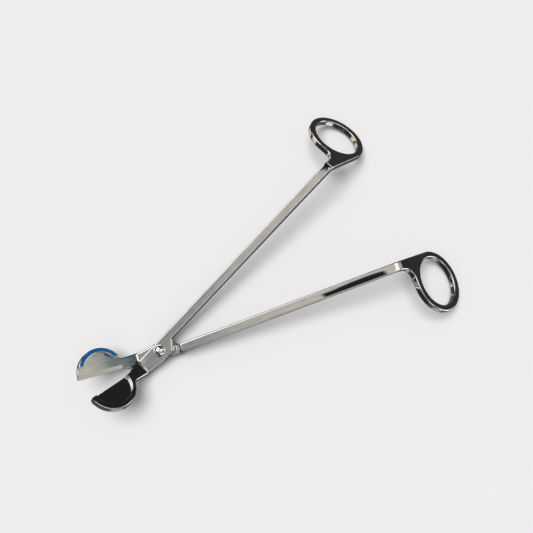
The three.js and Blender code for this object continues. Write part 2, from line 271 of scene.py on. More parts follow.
class LeverPlan:
    """One lever laid flat: what its outline, its folds and its tray follow from."""

    def __init__(self, sizes, is_upper):
        self.sizes = sizes
        self.is_upper = is_upper
        self.drop = sizes.thickness + PLATE_GAP
        self.level = 0 if is_upper else -self.drop
        self.head_at = HEAD_BEND_AT
        self.centre = TRAY_CENTRE
        if not is_upper:
            # The lower neck folds further out, so that it stays clear of the upper one.
            head_drop = sizes.thickness + NECK_GAP
            further = (head_drop - self.drop * math.cos(HEAD_BEND)) / math.sin(HEAD_BEND)
            self.head_at += further
            self.centre += self.drop * math.sin(HEAD_BEND) - further * math.cos(HEAD_BEND)
        self.blend_start = UPPER_BLEND_START if is_upper else LOWER_BLEND_START
        self.tray_depth = UPPER_TRAY_HEIGHT if is_upper else FLOOR_THICKNESS
        self.tray_at = Vector((-self.head_at - self.centre, TRAY_OFFSET))
        self.ring_along = RING_HOLE_ALONG + sizes.ring_band
        self.ring_across = RING_HOLE_ACROSS + sizes.ring_band
        self.ring_at = Vector((sizes.arm_length + RING_CENTRE, RING_INNER + self.ring_across))
        self.joggle_foot = SHOULDER_END + JOGGLE_HOLLOW * math.tan(JOGGLE_ANGLE / 2)
        self.joggle_top = self.joggle_foot + self.drop / math.tan(JOGGLE_ANGLE)
        self.joggle_mitre = sizes.thickness * math.tan(JOGGLE_ANGLE / 2)
        self.joggle_end = self.joggle_top + self.joggle_mitre + sizes.thickness / 2

    def tray_arc(self, start, end):
        """Points of the tray's outer circle, in even steps that its floor and rim share."""
        step = 360 / ROUND_STEPS
        inside = [k * step for k in range(math.floor(start / step) + 1, math.ceil(end / step))]
        angles = [math.radians(angle) for angle in (start, *inside, end)]
        radius = self.sizes.tray_radius
        return [tuple(self.tray_at + radius * Vector((math.cos(a), math.sin(a)))) for a in angles]

    def tray_side(self):
        """Round the tray, from its tip, and along the neck to the head's bend."""
        radius = self.sizes.tray_radius
        fillet_y = NECK_EDGE - NECK_FILLET
        reach = math.sqrt((radius + NECK_FILLET) ** 2 - (TRAY_OFFSET - fillet_y) ** 2)
        touch = math.degrees(math.atan2(fillet_y - TRAY_OFFSET, reach))
        tip = 180 - math.degrees(math.asin((CHORD_PAST - TRAY_OFFSET) / radius))
        points = self.tray_arc(tip, 360 + touch)
        fillet_at = (self.tray_at.x + reach, fillet_y)
        points += arc(fillet_at, (NECK_FILLET, NECK_FILLET), 180 + touch, 90, BEND_STEPS)[1:]
        neck = spread(fillet_at[0], -self.head_at, NECK_STEPS)[1:]
        length = -self.head_at - fillet_at[0]
        points += [(x, ease(PLATE_NECK, NECK_EDGE, (-self.head_at - x) / length)) for x in neck]
        return points

    def plate_side(self):
        """The inner side of the plate, from the head's bend to the shoulder where the arm begins."""
        places = spread(-HEAD_BEND_AT, 0, PLATE_STEPS)
        plate = [(x, ease(PLATE_INNER, PLATE_NECK, -x / HEAD_BEND_AT)) for x in places]
        inner_corner = (SHOULDER_START, PLATE_INNER)
        outer_corner = (SHOULDER_END, 0)
        plate += rounded((0, PLATE_INNER), inner_corner, outer_corner, SHOULDER_ROUND)
        plate += rounded(inner_corner, outer_corner, (self.sizes.arm_length, 0), SHOULDER_ROUND)
        return plate

    def ring_side(self):
        """Round the finger ring, from the arm's inner side to its outer one."""
        width = self.sizes.arm_width
        points = [(self.sizes.arm_length, 0)]
        points += arc(self.ring_at, (self.ring_along, self.ring_across), -90, 180, ROUND_STEPS)
        fillet_at = (self.ring_at.x - self.ring_along - RING_FILLET, width + RING_FILLET)
        return points + arc(fillet_at, (RING_FILLET, RING_FILLET), 0, -90, BEND_STEPS)

    def chord_side(self):
        """The outer side of the neck, which eases from the arm's width to the cutting edge."""
        width = self.sizes.arm_width
        shares = spread(0, 1, BEND_STEPS)
        return [(-self.head_at - CHORD_START * share, ease(width, CHORD_PAST, share)) for share in shares]

    def outline(self):
        """The whole outline, anticlockwise from above."""
        points = self.tray_side() + self.plate_side() + self.ring_side() + self.chord_side()
        kept = [points[0]]
        for point in points[1:]:
            if (Vector(point) - Vector(kept[-1])).length > SHORTEST_SIDE:
                kept.append(point)
        return kept

    def depth_share(self, x):
        """The metal's thickness at a place along the lever, as a share of the arms' thickness."""
        past = -self.head_at - x
        share = (past - self.blend_start) / NECK_BLEND
        return ease(1, self.tray_depth / self.sizes.thickness, share)

    def joggle_lines(self):
        """Upper and lower line of the joggle's side view, with as many points each."""
        thickness = self.sizes.thickness
        upper = [
            (SHOULDER_END, -self.drop, 0), (self.joggle_foot, -self.drop, JOGGLE_HOLLOW),
            (self.joggle_top, 0, JOGGLE_CROWN), (self.joggle_end, 0, 0),
        ]
        lower = [
            (SHOULDER_END, -self.drop - thickness, 0),
            (self.joggle_foot + self.joggle_mitre, -self.drop - thickness, JOGGLE_HOLLOW + thickness),
            (self.joggle_top + self.joggle_mitre, -thickness, JOGGLE_HOLLOW),
            (self.joggle_end, -thickness, 0),
        ]
        lines = []
        for corners in (upper, lower):
            points = [corners[0][:2]]
            for i in (1, 2):
                before, (x, z, radius), after = corners[i - 1], corners[i], corners[i + 1]
                flat_radius = radius * math.tan(JOGGLE_ANGLE / 2) * math.tan((math.pi - JOGGLE_ANGLE) / 2)
                points += rounded(before[:2], (x, z), after[:2], flat_radius, BEND_STEPS)
            lines.append(points + [corners[3][:2]])
        return lines

    def cuts(self):
        """Places along the lever where its faces are divided, so that they can fold."""
        thickness = self.sizes.thickness
        head_half = BEND_RADIUS * HEAD_BEND / 2
        ring_half = (BEND_RADIUS + thickness) * RING_BEND / 2
        places = [-x for x in spread(self.head_at - head_half, self.head_at + head_half, BEND_STEPS)]
        places += spread(self.sizes.arm_length - ring_half, self.sizes.arm_length + ring_half, BEND_STEPS)
        blend = -self.head_at - self.blend_start
        places += spread(blend, blend - NECK_BLEND, BEND_STEPS)
        if not self.is_upper:
            steps = len(self.joggle_lines()[0]) - 1
            places += spread(SHOULDER_END, self.joggle_end, steps)
        return places

    def fold(self, place):
        """Where a point of the flat lever goes when the lever is folded."""
        x, y, z = place
        if z < 0:
            z *= self.depth_share(x)
        if x < 0:
            return self.fold_head(x, y, z)
        if not self.is_upper and x < self.joggle_end:
            return self.fold_joggle(x, y, z)
        return self.fold_ring(x, y, z)

    def fold_head(self, x, y, z):
        start = self.head_at - BEND_RADIUS * HEAD_BEND / 2
        past = -x - start
        if past <= 0:
            return Vector((x, y, self.level + z))
        angle = min(HEAD_BEND, past / BEND_RADIUS)
        beyond = past - angle * BEND_RADIUS
        along = start + (BEND_RADIUS - z) * math.sin(angle) + beyond * math.cos(angle)
        height = BEND_RADIUS - (BEND_RADIUS - z) * math.cos(angle) + beyond * math.sin(angle)
        return Vector((-along, y, self.level + height))

    def fold_joggle(self, x, y, z):
        if x <= SHOULDER_END:
            return Vector((x, y, self.level + z))
        upper, lower = self.joggle_lines()
        at = (x - SHOULDER_END) / (self.joggle_end - SHOULDER_END) * (len(upper) - 1)
        step = min(int(at), len(upper) - 2)
        share = at - step
        top = Vector(upper[step]).lerp(Vector(upper[step + 1]), share)
        bottom = Vector(lower[step]).lerp(Vector(lower[step + 1]), share)
        along, height = top.lerp(bottom, -z / self.sizes.thickness)
        return Vector((along, y, height))

    def fold_ring(self, x, y, z):
        radius = BEND_RADIUS + self.sizes.thickness
        start = self.sizes.arm_length - radius * RING_BEND / 2
        past = x - start
        if past <= 0:
            return Vector((x, y, z))
        angle = min(RING_BEND, past / radius)
        beyond = past - angle * radius
        along = start + (radius + z) * math.sin(angle) + beyond * math.cos(angle)
        height = (radius + z) * math.cos(angle) - radius - beyond * math.sin(angle)
        return Vector((along, y, height))

    def edge_round(self, x, y):
        """The rounding of the edges at a place on the outline. It changes along the lever without a step."""
        sizes = self.sizes
        if x > 0:
            return ease(sizes.arm_round, sizes.ring_round, (x - sizes.arm_length) / RING_FILLET + 1)
        past = (-self.head_at - x) / CHORD_START
        if y > 0:
            return ease(sizes.arm_round, sizes.cutting_round, past)
        return ease(sizes.arm_round, sizes.tray_round, past)


# Solids.

def object_of(name, mesh_data):
    piece = bpy.data.objects.new(name, mesh_data)
    bpy.context.scene.collection.objects.link(piece)
    return piece


def from_bmesh(name, shape):
    mesh = bpy.data.meshes.new(name)
    shape.to_mesh(mesh)
    shape.free()
    return object_of(name, mesh)


def outward(outline):
    """For each point of an anticlockwise outline, how far it moves when both its sides move out by one."""
    count = len(outline)
    sides = [(Vector(outline[(i + 1) % count]) - Vector(outline[i])).normalized() for i in range(count)]
    normals = [Vector((side.y, -side.x)) for side in sides]
    return [(normals[i - 1] + normals[i]) / (1 + normals[i - 1].dot(normals[i])) for i in range(count)]


def stack(name, outline, layers, rounds=0):
    """A solid built in layers on an anticlockwise outline. Each layer has a level, and how far it rises from it
    and goes inside the outline, both as shares of the rounding at each point."""
    shape = bmesh.new()
    count = len(outline)
    if isinstance(rounds, (int, float)):
        rounds = [rounds] * count
    rings = []
    for level, rise, inset in layers:
        ring = []
        for (x, y), out, radius in zip(outline, outward(outline), rounds):
            place = (x - out.x * inset * radius, y - out.y * inset * radius, level + rise * radius)
            ring.append(shape.verts.new(place))
        rings.append(ring)
    shape.faces.new(rings[-1])
    shape.faces.new(rings[0][::-1])
    for lower, upper in zip(rings, rings[1:]):
        for i in range(count):
            j = (i + 1) % count
            shape.faces.new((lower[i], lower[j], upper[j], upper[i]))
    return from_bmesh(name, shape)


def prism(name, outline, low, high):
    return stack(name, outline, [(low, 0, 0), (high, 0, 0)])


def turn_in(level, is_top, side=1):
    """The layers of a rounded edge. With side -1 it flares out instead, as the mouth of a hole does."""
    layers = []
    for angle in spread(0, math.pi / 2, EDGE_STEPS):
        layers.append((level, math.sin(angle) - 1, side * (1 - math.cos(angle))))
    if is_top:
        return layers
    return [(level, -rise, inset) for level, rise, inset in reversed(layers)]


def settle(piece):
    """Replaces a piece's mesh by what its modifiers make of it."""
    graph = bpy.context.evaluated_depsgraph_get()
    made = bpy.data.meshes.new_from_object(piece.evaluated_get(graph))
    old = piece.data
    piece.modifiers.clear()
    piece.data = made
    bpy.data.meshes.remove(old)


def carve(piece, tool, operation):
    """Cuts a tool's shape out of a piece, or joins it on, and throws the tool away."""
    modifier = piece.modifiers.new("carve", "BOOLEAN")
    modifier.object = tool
    modifier.operation = operation
    modifier.solver = "EXACT"
    settle(piece)
    bpy.data.objects.remove(tool)


def through_hole(name, outline, thickness, rounding):
    reach = 2 * thickness
    layers = [(-reach, 0, -1), *turn_in(-thickness, False, -1), *turn_in(0, True, -1), (reach, 0, -1)]
    return stack(name, outline, layers, rounding)


def ring_hole(plan):
    outline = arc(plan.ring_at, (RING_HOLE_ALONG, RING_HOLE_ACROSS), 0, 360, ROUND_STEPS)[:-1]
    return through_hole("ring_hole", outline, plan.sizes.thickness, plan.sizes.ring_round)


def rivet_hole(plan):
    radius = SHANK_RADIUS + SHANK_CLEARANCE
    outline = arc((0, 0), (radius, radius), 0, 360, ROUND_STEPS // 2)[:-1]
    return through_hole("rivet_hole", outline, plan.sizes.thickness, plan.sizes.cutting_round)


def recess(plan):
    """The hollow of the upper tray, as deep as it has to be before the tray takes its own thickness."""
    inner = plan.sizes.tray_radius - plan.sizes.rim_width
    depth = UPPER_RECESS / plan.depth_share(plan.tray_at.x)
    middle = plan.tray_at + Vector((RECESS_SHIFT, 0))
    outline = arc(middle, (inner, inner), 0, 360, ROUND_STEPS)[:-1]
    layers = [*turn_in(-depth, False), *turn_in(0, True, -1), (depth, 0, -1)]
    return stack("recess", outline, layers, plan.sizes.tray_round)


def standing_rim(plan):
    """The rim that stands on the lower tray, open on the side where the upper tray slides over."""
    outer = plan.sizes.tray_radius
    inner = outer - plan.sizes.rim_width
    reach = RIM_CUT + TRAY_OFFSET
    step = 360 / ROUND_STEPS
    tip_angle = 180 + step * math.ceil(math.degrees(math.asin(reach / outer)) / step)
    inner_tip_angle = 180 + math.degrees(math.asin(reach / inner))
    outline = plan.tray_arc(tip_angle, RIM_NECK_ANGLE)
    outline += arc(plan.tray_at, (inner, inner), RIM_NECK_ANGLE, inner_tip_angle, ROUND_STEPS // 2)
    layers = [(-RIM_SUNK, 0, 0), *turn_in(RIM_HEIGHT, True)]
    rim = stack("standing_rim", outline, layers, plan.sizes.tray_round)
    for vertex in rim.data.vertices:
        if vertex.co.z > 0:
            share = ((vertex.co.xy - plan.tray_at).length - inner) / (outer - inner)
            vertex.co.z -= plan.sizes.rim_crown * share
    return rim


def land_wedge(plan):
    """What the grinder takes off along the cutting edge, below the upper tray or on top of the lower one."""
    spare = 0.5 * MM  # past the metal on every side that doesn't cut
    depth = LAND_DEPTH / plan.depth_share(plan.tray_at.x)
    slope = depth / LAND_WIDTH
    inner, outer = CHORD_PAST - LAND_WIDTH, CHORD_PAST + spare
    level, up = (-plan.sizes.thickness, 1) if plan.is_upper else (0, -1)
    section = [(inner, level), (inner, level - up * spare), (outer, level - up * spare)]
    section.append((outer, level + up * (depth + slope * spare)))
    if not plan.is_upper:
        section.reverse()
    tip = plan.tray_at.x - plan.sizes.tray_radius - spare
    wedge = prism("land_wedge", section, tip, -plan.head_at - CHORD_START)
    wedge.data.transform(Matrix(((0, 0, 1, 0), (1, 0, 0, 0), (0, 1, 0, 0), (0, 0, 0, 1))))
    return wedge


def mark_lands(plan, shape):
    """Gives the ground land the second material: it alone slopes slightly beside the cutting edge."""
    steepest, flattest = LAND_UPRIGHT
    start, side = -plan.head_at - CHORD_START, CHORD_PAST - LAND_WIDTH - LAND_MARGIN
    for face in shape.faces:
        middle = face.calc_center_median()
        slopes = steepest < abs(face.normal.z) < flattest
        if slopes and middle.x < start and middle.y > side:
            face.material_index = 1


def clean_faces(plan, piece):
    """Joins the flat faces that the cuts left, and keeps the true corners sharp."""
    shape = bmesh.new()
    shape.from_mesh(piece.data)
    bmesh.ops.dissolve_limit(
        shape, angle_limit=FLAT_ANGLE, verts=shape.verts, edges=shape.edges, delimit={"MATERIAL"}
    )
    shape.normal_update()
    mark_lands(plan, shape)
    for edge in shape.edges:
        lands = {face.material_index for face in edge.link_faces}
        edge.smooth = edge.calc_face_angle(0) < SHARP_ANGLE and len(lands) == 1
    shape.to_mesh(piece.data)
    shape.free()


def fold_lever(plan, piece):
    """Divides the flat lever where it folds, keeps its flat place for the grain, and folds it."""
    shape = bmesh.new()
    shape.from_mesh(piece.data)
    for place in plan.cuts():
        everything = shape.verts[:] + shape.edges[:] + shape.faces[:]
        bmesh.ops.bisect_plane(
            shape, geom=everything, plane_co=(place, 0, 0), plane_no=(1, 0, 0), dist=CUT_REACH
        )
    bmesh.ops.remove_doubles(shape, verts=shape.verts, dist=MERGE_REACH)
    grain = shape.loops.layers.uv.new("grain")
    for face in shape.faces:
        face.smooth = True
        for loop in face.loops:
            x, y, z = loop.vert.co
            loop[grain].uv = (x * GRAIN_PER_METRE, (y + z) * GRAIN_PER_METRE)
    for vertex in shape.verts:
        vertex.co = plan.fold(vertex.co)
    shape.to_mesh(piece.data)
    shape.free()


def even_normals(piece):
    """Keeps broad faces flat in the reflections. The rounded edges turn the light."""
    modifier = piece.modifiers.new("even_normals", "WEIGHTED_NORMAL")
    modifier.weight = BROAD_FACE_WEIGHT
    modifier.keep_sharp = True


def pivot_place(sizes):
    """The place of the pivot at the level of the arms' top, with +Z along the rivet."""
    joint = frame["joints"][0]
    axis = Vector(joint["axis"]).normalized()
    middle = Vector(joint["pos_m"]) + axis * (sizes.thickness + PLATE_GAP)
    return Matrix.Translation(middle) @ Matrix.Rotation(math.atan2(axis.x, axis.z), 4, "Y")


def lever_piece(name, sizes, is_upper):
    plan = LeverPlan(sizes, is_upper)
    outline = plan.outline()
    rounds = [plan.edge_round(x, y) for x, y in outline]
    piece = stack(name, outline, turn_in(-sizes.thickness, False) + turn_in(0, True), rounds)
    if is_upper:
        carve(piece, recess(plan), "DIFFERENCE")
    else:
        carve(piece, standing_rim(plan), "UNION")
    carve(piece, ring_hole(plan), "DIFFERENCE")
    carve(piece, rivet_hole(plan), "DIFFERENCE")
    carve(piece, land_wedge(plan), "DIFFERENCE")
    clean_faces(plan, piece)
    fold_lever(plan, piece)
    turn = sizes.half_opening if is_upper else -sizes.half_opening
    place = pivot_place(sizes) @ Matrix.Rotation(turn, 4, "Z")
    if not is_upper:
        place = place @ Matrix.Scale(-1, 4, (0, 1, 0))
        piece.data.flip_normals()
    piece.data.transform(place)
    even_normals(piece)
    return piece


def lathe(name, profile, sizes):
    """A solid turned about the rivet's axis. Its profile starts and ends on the axis, or closes."""
    shape = bmesh.new()
    closed = profile[0] == profile[-1]
    points = profile[:-1] if closed else profile
    rings = []
    for radius, level in points:
        if radius == 0:
            rings.append([shape.verts.new((0, 0, level))])
            continue
        ring = arc((0, 0), (radius, radius), 0, 360, ROUND_STEPS)[:-1]
        rings.append([shape.verts.new((x, y, level)) for x, y in ring])
    count = len(rings) if closed else len(rings) - 1
    for i in range(count):
        lower, upper = rings[i], rings[(i + 1) % len(rings)]
        for k in range(ROUND_STEPS):
            after = (k + 1) % ROUND_STEPS
            corners = [lower[at % len(lower)] for at in (k, after)]
            corners += [upper[at % len(upper)] for at in (after, k)]
            face = shape.faces.new(list(dict.fromkeys(corners)))  # a ring on the axis is one point
            face.smooth = True
    bmesh.ops.recalc_face_normals(shape, faces=shape.faces)
    piece = from_bmesh(name, shape)
    piece.data.transform(pivot_place(sizes))
    return piece


def rounded_profile(corners):
    """A profile whose corners are rounded. Each corner is a radius, a level and its rounding."""
    points = [corners[0][:2]]
    for before, (radius, level, rounding), after in zip(corners, corners[1:], corners[2:]):
        if rounding:
            points += rounded(before[:2], (radius, level), after[:2], rounding, PROFILE_STEPS)
        else:
            points.append((radius, level))
    points.append(corners[-1][:2])
    return points


def washer_levels(sizes):
    """The washer's upper and lower face, from the level of the arms' top."""
    top = -2 * sizes.thickness - PLATE_GAP - SEAT_GAP
    return top, top - sizes.washer_thickness


def rivet_piece(name, sizes):
    """Rivet: domed head with a low collar, plain shank and a flattened tail."""
    tail_top = washer_levels(sizes)[1] - SEAT_GAP
    tail_end = tail_top - TAIL_HEIGHT
    collar_top = SEAT_GAP + DOME_COLLAR
    dome_radius = sizes.dome_radius - DOME_COLLAR
    dome_height = sizes.dome_height - DOME_COLLAR
    bulge = (dome_radius**2 + dome_height**2) / (2 * dome_height)
    half = math.asin(dome_radius / bulge)
    corners = [
        (0, tail_end, 0), (TAIL_RADIUS - TAIL_BEVEL, tail_end, TAIL_END_ROUND),
        (TAIL_RADIUS, tail_end + TAIL_BEVEL, TAIL_SIDE_ROUND), (TAIL_RADIUS, tail_top, TAIL_TOP_ROUND),
        (SHANK_RADIUS, tail_top, 0), (SHANK_RADIUS, SEAT_GAP, 0),
        (sizes.dome_radius, SEAT_GAP, HEAD_FOOT_ROUND), (sizes.dome_radius, collar_top, COLLAR_ROUND),
        (dome_radius, collar_top, 0),
    ]
    profile = rounded_profile(corners)
    for angle in spread(half, 0, 2 * BEND_STEPS)[1:]:
        profile.append((bulge * math.sin(angle), collar_top + dome_height - bulge * (1 - math.cos(angle))))
    profile[-1] = (0, profile[-1][1])
    piece = lathe(name, profile, sizes)
    even_normals(piece)
    return piece


def washer_piece(name, sizes):
    """Burr washer: a flat ring with rounded edges."""
    top, bottom = washer_levels(sizes)
    inner, outer = SHANK_RADIUS + SHANK_CLEARANCE, sizes.washer_radius
    middle = (inner + outer) / 2
    corners = [
        (middle, bottom, 0), (outer, bottom, WASHER_OUTER_ROUND), (outer, top, WASHER_OUTER_ROUND),
        (inner, top, WASHER_INNER_ROUND), (inner, bottom, WASHER_INNER_ROUND), (middle, bottom, 0),
    ]
    piece = lathe(name, rounded_profile(corners), sizes)
    even_normals(piece)
    return piece


# Shader node groups and materials.

# Noises of the steel's finish, each as scale and detail. Those that follow the grain are stretched first.
LINES_STRETCH = (6, 420, 1)
LINES_NOISE = (1.0, 6)
LINES_HEIGHT = 0.004
STREAKS_STRETCH = (14, 90, 1)
STREAKS_NOISE = (1.0, 3)
STREAKS_RANGE = (0.42, 0.68)
WAVES_NOISE = (45.0, 1)
SMEARS_NOISE = (90.0, 5)
SMEARS_RANGE = (0.5, 0.75)
SMEARS_SHARE = 0.6
SPECKS_NOISE = (1400.0, 2)
SPECKS_RANGE = (0.68, 0.76)
SPECKS_SHARE = 0.8
RUBBED_RANGE = (0.52, 0.6)

# The dulled and the rubbed colour as shares of the clean one, how much of the dulled colour the streaks bring,
# the roughness that smudges add, and the part of the roughness that is even.
DULLED = 0.82
RUBBED = 1.12
STREAKS_SHARE = 0.7
SMUDGE_ROUGHNESS = 0.05
EVEN_SHARE = 0.5

FIBRES_NOISE = (900.0, 4)
FIBRES_SHADE = 0.995
PAPER_ROUGHNESS = 0.95

# A Mix node's sockets for colours, by number because their names are shared.
MIX_MASK, MIX_FIRST, MIX_SECOND, MIX_RESULT = 0, 6, 7, 2


def new_group(name, inputs, outputs):
    """An empty shader node group with float inputs, and outputs given as name and socket type."""
    group = bpy.data.node_groups.new(name, "ShaderNodeTree")
    for label, default in inputs:
        socket = group.interface.new_socket(name=label, in_out="INPUT", socket_type="NodeSocketFloat")
        socket.default_value = default
    for label, kind in outputs:
        group.interface.new_socket(name=label, in_out="OUTPUT", socket_type=kind)
    return group, group.nodes.new("NodeGroupInput"), group.nodes.new("NodeGroupOutput")


def add_math(tree, operation, *values):
    node = tree.nodes.new("ShaderNodeMath")
    node.operation = operation
    for socket, value in zip(node.inputs, values):
        if isinstance(value, (int, float)):
            socket.default_value = value
        else:
            tree.links.new(value, socket)
    return node.outputs[0]


def add_noise(tree, vector, scale, detail):
    node = tree.nodes.new("ShaderNodeTexNoise")
    node.inputs["Scale"].default_value = scale
    node.inputs["Detail"].default_value = detail
    tree.links.new(vector, node.inputs["Vector"])
    return node.outputs["Fac"]


def stretched(tree, vector, scale):
    node = tree.nodes.new("ShaderNodeMapping")
    node.inputs["Scale"].default_value = scale
    tree.links.new(vector, node.inputs["Vector"])
    return node.outputs["Vector"]


def add_range(tree, value, low, high, to_low=0, to_high=1):
    """Turns one range of a value softly into another."""
    node = tree.nodes.new("ShaderNodeMapRange")
    node.interpolation_type = "SMOOTHSTEP"
    for label, number in (("From Min", low), ("From Max", high), ("To Min", to_low), ("To Max", to_high)):
        node.inputs[label].default_value = number
    tree.links.new(value, node.inputs["Value"])
    return node.outputs["Result"]


def polish_group():
    """Fine polishing lines that follow the metal, and the slight waviness that hand polishing leaves."""
    group, given, result = new_group(
        "polish_lines", [("Lines", 1.0), ("Waves", 1.0)],
        [("Roughness", "NodeSocketFloat"), ("Height", "NodeSocketFloat"), ("Streaks", "NodeSocketFloat")],
    )
    grain = group.nodes.new("ShaderNodeUVMap")
    grain.uv_map = "grain"
    flat_place = grain.outputs["UV"]
    place = group.nodes.new("ShaderNodeTexCoord").outputs["Object"]
    lines = add_noise(group, stretched(group, flat_place, LINES_STRETCH), *LINES_NOISE)
    drawn = add_math(group, "MULTIPLY", lines, given.outputs["Lines"])
    group.links.new(drawn, result.inputs["Roughness"])
    waves = add_math(group, "MULTIPLY", add_noise(group, place, *WAVES_NOISE), given.outputs["Waves"])
    height = add_math(group, "ADD", add_math(group, "MULTIPLY", drawn, LINES_HEIGHT), waves)
    group.links.new(height, result.inputs["Height"])
    bands = add_noise(group, stretched(group, flat_place, STREAKS_STRETCH), *STREAKS_NOISE)
    streaks = add_math(group, "MULTIPLY", add_range(group, bands, *STREAKS_RANGE), given.outputs["Lines"])
    group.links.new(streaks, result.inputs["Streaks"])
    return group


def handling_group():
    """Faint smudges and dull spots that fingers leave, as one mask."""
    group, given, result = new_group("handling_marks", [("Amount", 0.5)], [("Mask", "NodeSocketFloat")])
    place = group.nodes.new("ShaderNodeTexCoord").outputs["Object"]
    smears = add_range(group, add_noise(group, place, *SMEARS_NOISE), *SMEARS_RANGE)
    specks = add_range(group, add_noise(group, place, *SPECKS_NOISE), *SPECKS_RANGE)
    smears = add_math(group, "MULTIPLY", smears, SMEARS_SHARE)
    specks = add_math(group, "MULTIPLY", specks, SPECKS_SHARE)
    both = add_math(group, "MAXIMUM", smears, specks)
    group.links.new(add_math(group, "MULTIPLY", both, given.outputs["Amount"]), result.inputs["Mask"])
    return group


def wear_group():
    """Where edges stand out and rub bright, as a mask."""
    group, given, result = new_group("edge_wear", [("Amount", 1.0)], [("Mask", "NodeSocketFloat")])
    geometry = group.nodes.new("ShaderNodeNewGeometry")
    edges = add_range(group, geometry.outputs["Pointiness"], *RUBBED_RANGE)
    group.links.new(add_math(group, "MULTIPLY", edges, given.outputs["Amount"]), result.inputs["Mask"])
    return group


def place_group(tree, name, make, **values):
    """Places a shared group, made once, with a material's own values."""
    node = tree.nodes.new("ShaderNodeGroup")
    node.node_tree = bpy.data.node_groups.get(name) or make()
    for label, value in values.items():
        node.inputs[label].default_value = value
    return node.outputs


def mix_colours(tree, mask, first, second):
    """Blends two colours by a mask. The first is a colour, or an output that gives one."""
    node = tree.nodes.new("ShaderNodeMix")
    node.data_type = "RGBA"
    tree.links.new(mask, node.inputs[MIX_MASK])
    if isinstance(first, bpy.types.NodeSocket):
        tree.links.new(first, node.inputs[MIX_FIRST])
    else:
        node.inputs[MIX_FIRST].default_value = (*first, 1)
    node.inputs[MIX_SECOND].default_value = (*second, 1)
    return node.outputs[MIX_RESULT]


def steel_material(name, colour, wear, roughness, lines, waves, relief):
    """Steel: its polishing lines, its waviness, the marks of handling and its brightened edges."""
    material = bpy.data.materials.new(name)
    material.use_nodes = True
    tree = material.node_tree
    shader = tree.nodes["Principled BSDF"]
    shader.inputs["Metallic"].default_value = 1
    polish = place_group(tree, "polish_lines", polish_group, Lines=lines, Waves=waves)
    marks = place_group(tree, "handling_marks", handling_group, Amount=wear)["Mask"]
    edges = place_group(tree, "edge_wear", wear_group, Amount=wear)["Mask"]
    dulled = [channel * DULLED for channel in colour]
    rubbed = [min(1, channel * RUBBED) for channel in colour]
    drawn = add_math(tree, "MULTIPLY", polish["Streaks"], STREAKS_SHARE)
    tone = mix_colours(tree, add_math(tree, "MAXIMUM", marks, drawn), colour, dulled)
    tree.links.new(mix_colours(tree, edges, tone, rubbed), shader.inputs["Base Color"])
    grained = add_math(tree, "MULTIPLY", polish["Roughness"], roughness)
    smudged = add_math(tree, "MULTIPLY", marks, SMUDGE_ROUGHNESS)
    uneven = add_math(tree, "ADD", grained, smudged)
    tree.links.new(add_math(tree, "ADD", uneven, roughness * EVEN_SHARE), shader.inputs["Roughness"])
    bump = tree.nodes.new("ShaderNodeBump")
    bump.inputs["Strength"].default_value = 1
    bump.inputs["Distance"].default_value = relief
    tree.links.new(polish["Height"], bump.inputs["Height"])
    tree.links.new(bump.outputs["Normal"], shader.inputs["Normal"])
    return material


def floor_material(colour):
    """Matt studio paper with faint fibres."""
    material = bpy.data.materials.new("studio_paper")
    material.use_nodes = True
    tree = material.node_tree
    shader = tree.nodes["Principled BSDF"]
    shader.inputs["Roughness"].default_value = PAPER_ROUGHNESS
    shader.inputs["Specular IOR Level"].default_value = 0
    place = tree.nodes.new("ShaderNodeTexCoord").outputs["Object"]
    fibres = add_noise(tree, place, *FIBRES_NOISE)
    tone = mix_colours(tree, fibres, [channel * FIBRES_SHADE for channel in colour], colour)
    tree.links.new(tone, shader.inputs["Base Color"])
    return material


# The stage.

CAMERA_PLACE = Vector((7.24, -63.2, 323.2)) * MM
CAMERA_TARGET = Vector((13.92, 7.9, 5.0)) * MM
CAMERA_UP = Vector((0.534, 0.823, 0.195))
CAMERA_NEAREST = 10 * MM
FLOOR_HALF = 12.0
FLOOR_LEVEL = -0.05 * MM
KEY_TOWARD = (103, 82)  # azimuth and elevation in degrees
KEY_SPREAD = math.radians(36)
EVEN_COLOUR = (1, 0.995, 1, 1)

